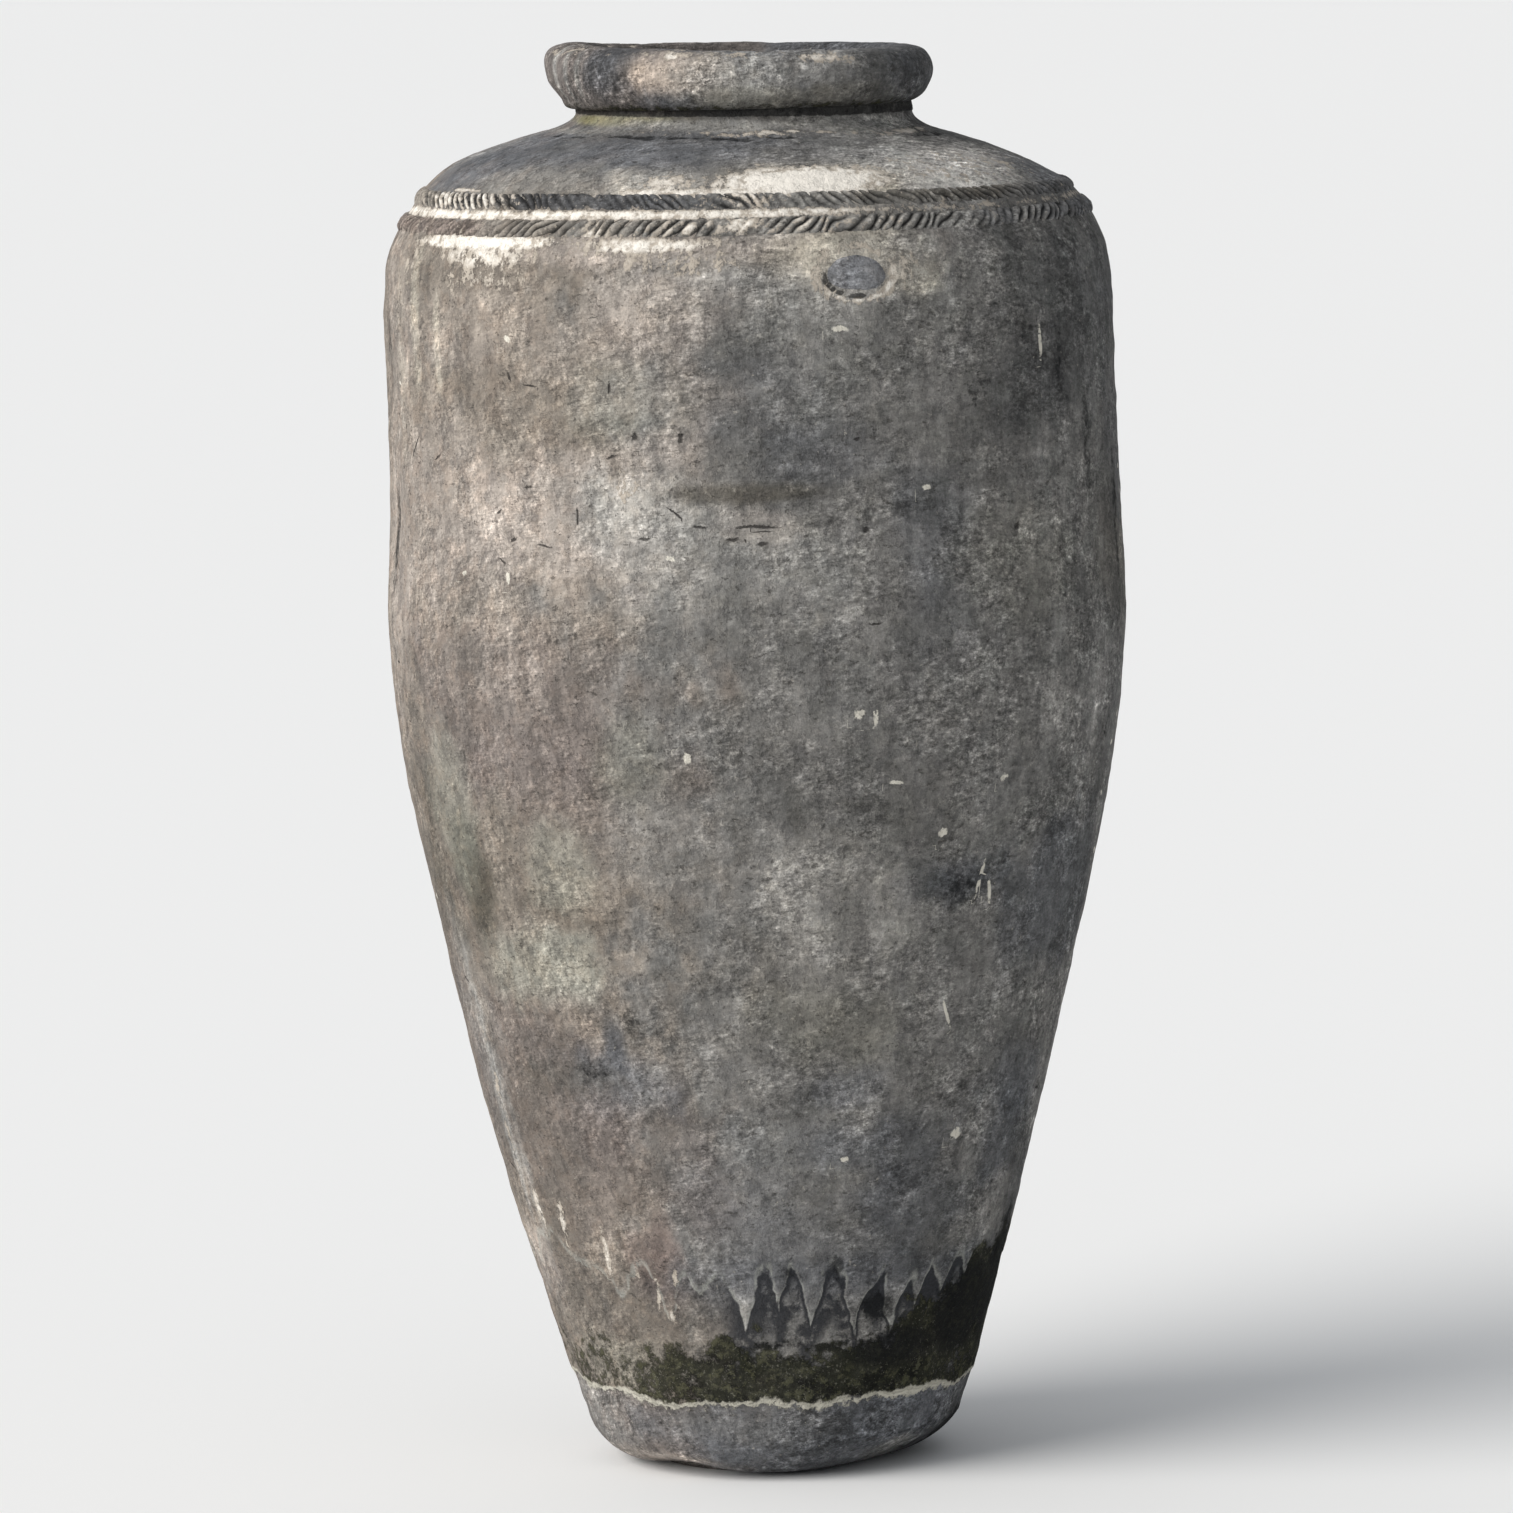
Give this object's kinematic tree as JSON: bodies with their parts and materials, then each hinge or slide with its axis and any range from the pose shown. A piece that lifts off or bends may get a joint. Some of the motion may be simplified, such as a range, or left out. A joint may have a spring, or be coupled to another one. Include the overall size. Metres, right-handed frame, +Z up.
{
  "type": "amphora",
  "caption": "Tall handleless stoneware storage jar with a rolled rim, a domed shoulder dressed with applied rope bands, an oval pad and a tapering body on a narrow foot.",
  "frame": {"origin": "centre of the resting face under the foot", "axes": "+Z up along the jar's axis, the face with the oval pad looks along -Y"},
  "size_m": [0.466, 0.466, 0.9008],
  "materials": {
    "grey_body": "weathered matt stoneware, lime stained",
    "dark_shoulder": "weathered matt stoneware, dark",
    "foot_clay": "bare rough stoneware, worn",
    "lime_rope": "impressed clay rope, lime filled",
    "inner_clay": "unglazed stoneware, finger smoothed"
  },
  "bodies": {
    "root": {"base_slab": "foot_clay", "lower_wall": "grey_body", "middle_wall": "grey_body", "upper_wall": "grey_body", "shoulder": "dark_shoulder", "neck_collar": "dark_shoulder", "rolled_rim": "dark_shoulder", "seal_pad": "dark_shoulder", "lower_rope_band": "lime_rope", "upper_rope_band": "lime_rope", "base_corner_coil": "inner_clay", "lower_seam_coil": "inner_clay", "middle_seam_coil": "inner_clay", "shoulder_seam_coil": "inner_clay", "neck_seam_coil": "inner_clay"}
  },
  "joints": []
}
